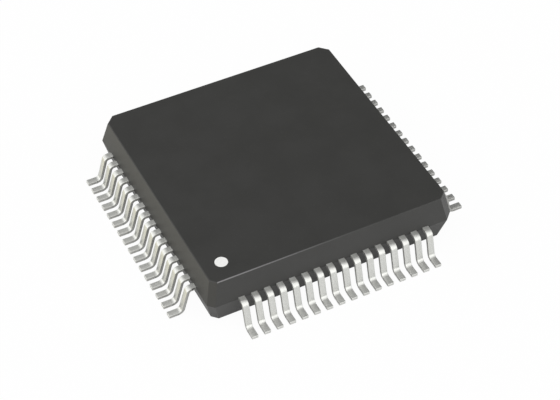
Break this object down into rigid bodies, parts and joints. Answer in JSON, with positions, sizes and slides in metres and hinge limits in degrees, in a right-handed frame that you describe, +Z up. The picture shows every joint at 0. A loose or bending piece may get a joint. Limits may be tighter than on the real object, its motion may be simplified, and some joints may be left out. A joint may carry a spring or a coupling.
{
  "type": "quad flat pack chip",
  "caption": "Square moulded chip package with a printed pin 1 dot and formed gull-wing leads on all four sides, with leadframe, die and bond wires inside.",
  "frame": {"origin": "centre of the body in plan, on the seating plane under the feet", "axes": "+Z up through the body's top face; -Y is the side with pins 1 to 16, which run towards +X; pins count counter-clockwise from above"},
  "size_m": [0.0122, 0.0122, 0.0021],
  "materials": {
    "mould_compound": "dark grey epoxy mould compound with a fine sparked texture",
    "mark_ink": "flat white marking ink",
    "tin_plate": "matte tin plate over copper alloy, with fine rolling streaks",
    "leadframe_copper": "bare copper alloy strip",
    "silver_adhesive": "silver-filled die attach adhesive",
    "silicon": "silicon with a glassy top",
    "gold_wire": "bright gold wire"
  },
  "bodies": {
    "root": {"mould_body": "mould_compound", "pin_1_mark": "mark_ink", "die_pad": "leadframe_copper", "die_adhesive": "silver_adhesive", "die": "silicon", "leads_01_02": "tin_plate", "leads_03_04": "tin_plate", "leads_05_06": "tin_plate", "leads_07_08": "tin_plate", "leads_09_10": "tin_plate", "leads_11_12": "tin_plate", "leads_13_14": "tin_plate", "leads_15_16": "tin_plate", "leads_17_18": "tin_plate", "leads_19_20": "tin_plate", "leads_21_22": "tin_plate", "leads_23_24": "tin_plate", "leads_25_26": "tin_plate", "leads_27_28": "tin_plate", "leads_29_30": "tin_plate", "leads_31_32": "tin_plate", "leads_33_34": "tin_plate", "leads_35_36": "tin_plate", "leads_37_38": "tin_plate", "leads_39_40": "tin_plate", "leads_41_42": "tin_plate", "leads_43_44": "tin_plate", "leads_45_46": "tin_plate", "leads_47_48": "tin_plate", "leads_49_50": "tin_plate", "leads_51_52": "tin_plate", "leads_53_54": "tin_plate", "leads_55_56": "tin_plate", "leads_57_58": "tin_plate", "leads_59_60": "tin_plate", "leads_61_62": "tin_plate", "leads_63_64": "tin_plate", "bond_wires_01_04": "gold_wire", "bond_wires_05_08": "gold_wire", "bond_wires_09_12": "gold_wire", "bond_wires_13_16": "gold_wire", "bond_wires_17_20": "gold_wire", "bond_wires_21_24": "gold_wire", "bond_wires_25_28": "gold_wire", "bond_wires_29_32": "gold_wire", "bond_wires_33_36": "gold_wire", "bond_wires_37_40": "gold_wire", "bond_wires_41_44": "gold_wire", "bond_wires_45_48": "gold_wire", "bond_wires_49_52": "gold_wire", "bond_wires_53_56": "gold_wire", "bond_wires_57_60": "gold_wire", "bond_wires_61_64": "gold_wire"}
  },
  "joints": []
}
